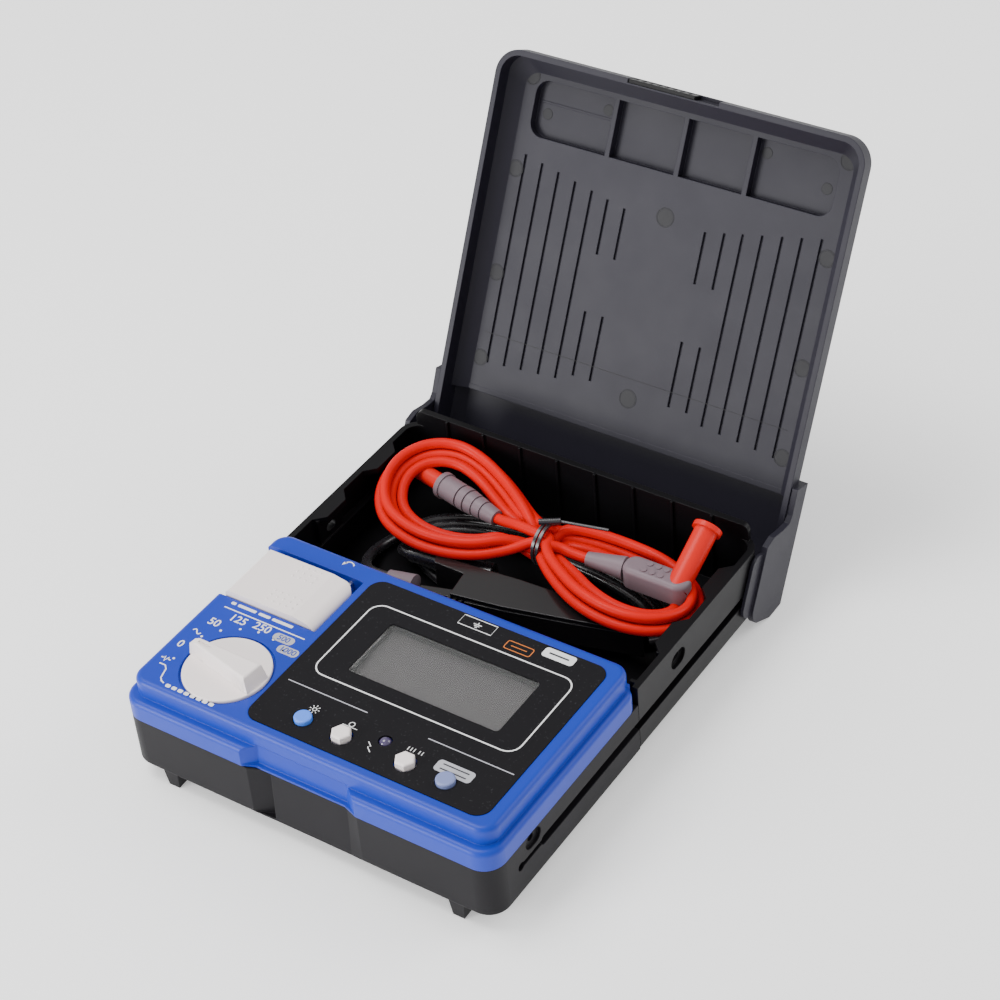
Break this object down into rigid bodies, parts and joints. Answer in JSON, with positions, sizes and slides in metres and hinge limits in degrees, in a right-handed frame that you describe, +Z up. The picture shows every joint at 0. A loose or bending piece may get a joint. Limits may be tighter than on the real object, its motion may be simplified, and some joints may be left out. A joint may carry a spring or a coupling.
{
  "type": "insulation resistance tester",
  "caption": "Portable insulation resistance tester with selector knob, lever key, display, lead tray, hinged lid and test leads.",
  "frame": {"origin": "middle of the open tester's footprint, at table level", "axes": "+X along the front edge to the user's right, +Y from the meter's front to the tray and lid, +Z up"},
  "size_m": [0.159, 0.2661, 0.1588],
  "materials": {
    "case_plastic": "fine textured",
    "tray_plastic": "fine textured",
    "lid_plastic": "fine textured",
    "bezel_plastic": "fine textured",
    "panel_film": "satin film",
    "window": "clear",
    "lcd_glass": "satin",
    "inner_plastic": "as moulded",
    "diffuser": "milky",
    "silicone": "matt",
    "led_lens": "clear tint",
    "knob_plastic": "fine textured",
    "blue_button": "satin",
    "pale_blue_button": "satin",
    "steel": "plated",
    "board": "solder mask",
    "ferrite": "matt",
    "fuse_glass": "clear",
    "plated_brass": "plated",
    "cell_sleeve": "printed sleeve",
    "red_rubber": "satin",
    "red_plastic": "satin",
    "black_rubber": "satin",
    "grey_rubber": "satin",
    "clip_plastic": "fine textured"
  },
  "bodies": {
    "case": {"lower_case": "case_plastic", "top_bezel": "bezel_plastic", "front_panel": "panel_film", "lcd_window": "window", "lcd_module": "lcd_glass", "lcd_frame": "inner_plastic", "backlight": "diffuser", "keypad_mat": "silicone", "warning_led": "led_lens", "rotary_switch": "inner_plastic", "key_pivot_pin": "steel", "key_spring": "steel", "key_switch": "inner_plastic", "main_board": "board", "case_screws": "steel", "board_screws": "steel", "hv_transformer": "ferrite", "buzzer": "inner_plastic", "fuse": "fuse_glass", "fuse_clips": "plated_brass", "batteries": "cell_sleeve", "battery_contacts": "plated_brass", "battery_cover": "case_plastic", "cover_screw": "steel", "socket_block": "inner_plastic", "earth_socket": "plated_brass", "line_socket": "plated_brass", "accessory_tray": "tray_plastic", "tray_screws": "steel", "red_lead_hank": "red_rubber", "twist_tie": "black_rubber", "red_plug_body": "grey_rubber", "red_plug_shroud": "red_plastic", "red_plug_pin": "plated_brass", "red_connector": "grey_rubber", "red_connector_barrel": "red_plastic", "black_lead_coil": "black_rubber", "black_plug_body": "black_rubber", "black_plug_pin": "plated_brass", "clip_collar": "grey_rubber", "clip_rear_jaw": "clip_plastic", "clip_pin": "steel", "clip_spring": "steel"},
    "lid": {"lid_shell": "lid_plastic"},
    "latch": {"lid_latch": "tray_plastic"},
    "knob": {"selector_knob": "knob_plastic", "knob_shaft": "inner_plastic"},
    "key": {"measure_key": "knob_plastic"},
    "light_key": {"light_button": "blue_button"},
    "zero_key": {"zero_adjust_button": "knob_plastic"},
    "comparator_key": {"comparator_button": "knob_plastic"},
    "release_key": {"release_button": "pale_blue_button"},
    "clip_jaw": {"clip_front_jaw": "clip_plastic"}
  },
  "joints": [
    {"name": "lid_hinge", "type": "hinge", "parent": "case", "child": "lid", "pos_m": [0, 0.0327, 0.019], "axis": [1, 0, 0], "range_deg": [0, 116.8]},
    {"name": "latch_slide", "type": "slide", "parent": "lid", "child": "latch", "axis": [1, 0, 0], "range_m": [0, 0.0085]},
    {"name": "knob_turn", "type": "hinge", "parent": "case", "child": "knob", "pos_m": [-0.0464, -0.1093, 0.044], "axis": [0, 0, 1], "range_deg": [-116.5, 19.5]},
    {"name": "key_hinge", "type": "hinge", "parent": "case", "child": "key", "pos_m": [-0.0371, -0.0662, 0.0406], "axis": [0, -1, 0], "range_deg": [-90, 4], "stiffness_Nm_per_rad": 0.03, "deforming": ["key_spring"]},
    {"name": "light_key_press", "type": "slide", "parent": "case", "child": "light_key", "axis": [0, 0, 1], "range_m": [-0.0012, 0], "stiffness_N_per_m": 900},
    {"name": "zero_key_press", "type": "slide", "parent": "case", "child": "zero_key", "axis": [0, 0, 1], "range_m": [-0.0012, 0], "stiffness_N_per_m": 900},
    {"name": "comparator_key_press", "type": "slide", "parent": "case", "child": "comparator_key", "axis": [0, 0, 1], "range_m": [-0.0012, 0], "stiffness_N_per_m": 900},
    {"name": "release_key_press", "type": "slide", "parent": "case", "child": "release_key", "axis": [0, 0, 1], "range_m": [-0.0012, 0], "stiffness_N_per_m": 900},
    {"name": "clip_open", "type": "hinge", "parent": "case", "child": "clip_jaw", "pos_m": [0.00271, -0.01613, 0.022], "axis": [0, 0, -1], "range_deg": [0, 20], "stiffness_Nm_per_rad": 0.25, "springref_deg": -34.38}
  ]
}
